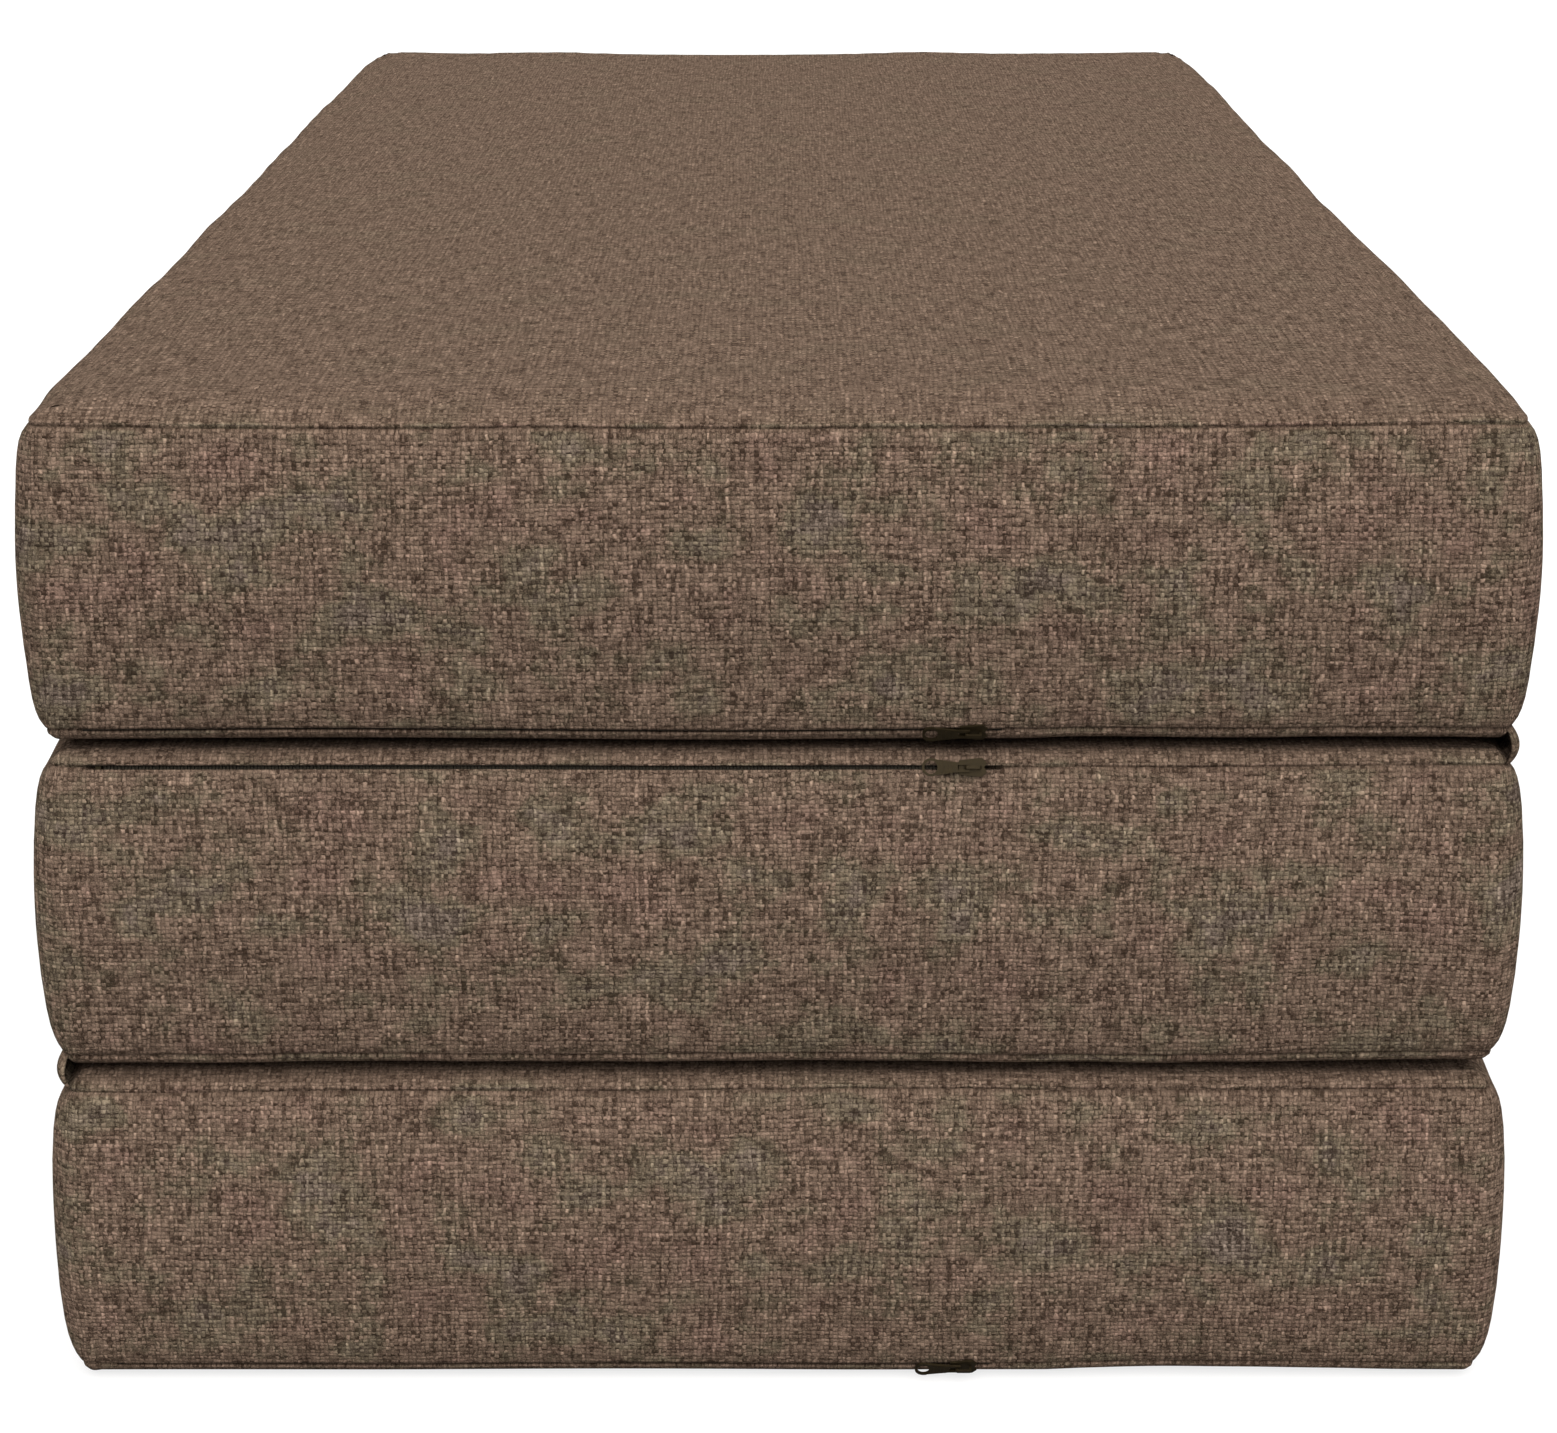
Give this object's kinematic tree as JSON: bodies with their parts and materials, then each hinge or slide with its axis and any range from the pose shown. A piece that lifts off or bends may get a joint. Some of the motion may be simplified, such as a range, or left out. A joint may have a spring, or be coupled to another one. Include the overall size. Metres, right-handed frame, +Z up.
{
  "type": "folding sofa bed",
  "caption": "Folding sofa bed: foam blocks in zipped woven covers, joined by fabric hinges and stacked in a Z fold.",
  "frame": {"origin": "on the floor, under the middle of the folded stack", "axes": "+X across the fold to the right, +Y from the zips to the back, +Z up"},
  "size_m": [0.65, 1.2, 0.4524],
  "materials": {
    "cover": "matte",
    "foam": "matte",
    "zip_tape": "matte",
    "zip_teeth": "satin",
    "zip_metal": "satin"
  },
  "bodies": {
    "bottom_block": {"bottom_foam_core": "foam", "bottom_lower_panel": "cover", "bottom_upper_panel": "cover", "bottom_side_band": "cover", "bottom_zip_tapes": "zip_tape", "bottom_zip_teeth": "zip_teeth", "bottom_zip_stops": "zip_metal", "left_hinge_cloth": "cover"},
    "middle_block": {"middle_foam_core": "foam", "middle_lower_panel": "cover", "middle_upper_panel": "cover", "middle_side_band": "cover", "middle_zip_tapes": "zip_tape", "middle_zip_teeth": "zip_teeth", "middle_zip_stops": "zip_metal", "right_hinge_cloth": "cover"},
    "top_block": {"top_foam_core": "foam", "top_lower_panel": "cover", "top_upper_panel": "cover", "top_side_band": "cover", "top_zip_tapes": "zip_tape", "top_zip_teeth": "zip_teeth", "top_zip_stops": "zip_metal"},
    "bottom_slider": {"bottom_zip_slider": "zip_metal"},
    "bottom_pull": {"bottom_zip_pull": "zip_metal"},
    "middle_slider": {"middle_zip_slider": "zip_metal"},
    "middle_pull": {"middle_zip_pull": "zip_metal"},
    "top_slider": {"top_zip_slider": "zip_metal"},
    "top_pull": {"top_zip_pull": "zip_metal"}
  },
  "joints": [
    {"name": "left_fold", "type": "hinge", "parent": "bottom_block", "child": "middle_block", "pos_m": [-0.3253, 0, 0.1503], "axis": [0, -1, 0], "range_deg": [0, 180], "deforming": ["left_hinge_cloth"]},
    {"name": "right_fold", "type": "hinge", "parent": "middle_block", "child": "top_block", "pos_m": [0.3253, 0, 0.3009], "axis": [0, 1, 0], "range_deg": [0, 180], "deforming": ["right_hinge_cloth"]},
    {"name": "bottom_zip_slide", "type": "slide", "parent": "bottom_block", "child": "bottom_slider", "axis": [1, 0, 0], "range_m": [-0.37, 0], "deforming": ["bottom_zip_teeth"]},
    {"name": "bottom_pull_hinge", "type": "hinge", "parent": "bottom_slider", "child": "bottom_pull", "pos_m": [0.0812, -0.59494, 0.00719], "axis": [0, -0.3856, 0.9227], "range_deg": [0, 140]},
    {"name": "middle_zip_slide", "type": "slide", "parent": "middle_block", "child": "middle_slider", "axis": [1, 0, 0], "range_m": [-0.37, 0], "deforming": ["middle_zip_teeth"]},
    {"name": "middle_pull_hinge", "type": "hinge", "parent": "middle_slider", "child": "middle_pull", "pos_m": [0.0812, -0.59494, 0.29341], "axis": [0, 0.3856, 0.9227], "range_deg": [0, 140]},
    {"name": "top_zip_slide", "type": "slide", "parent": "top_block", "child": "top_slider", "axis": [1, 0, 0], "range_m": [-0.37, 0], "deforming": ["top_zip_teeth"]},
    {"name": "top_pull_hinge", "type": "hinge", "parent": "top_slider", "child": "top_pull", "pos_m": [0.0812, -0.59494, 0.30839], "axis": [0, -0.3856, 0.9227], "range_deg": [0, 140]}
  ]
}
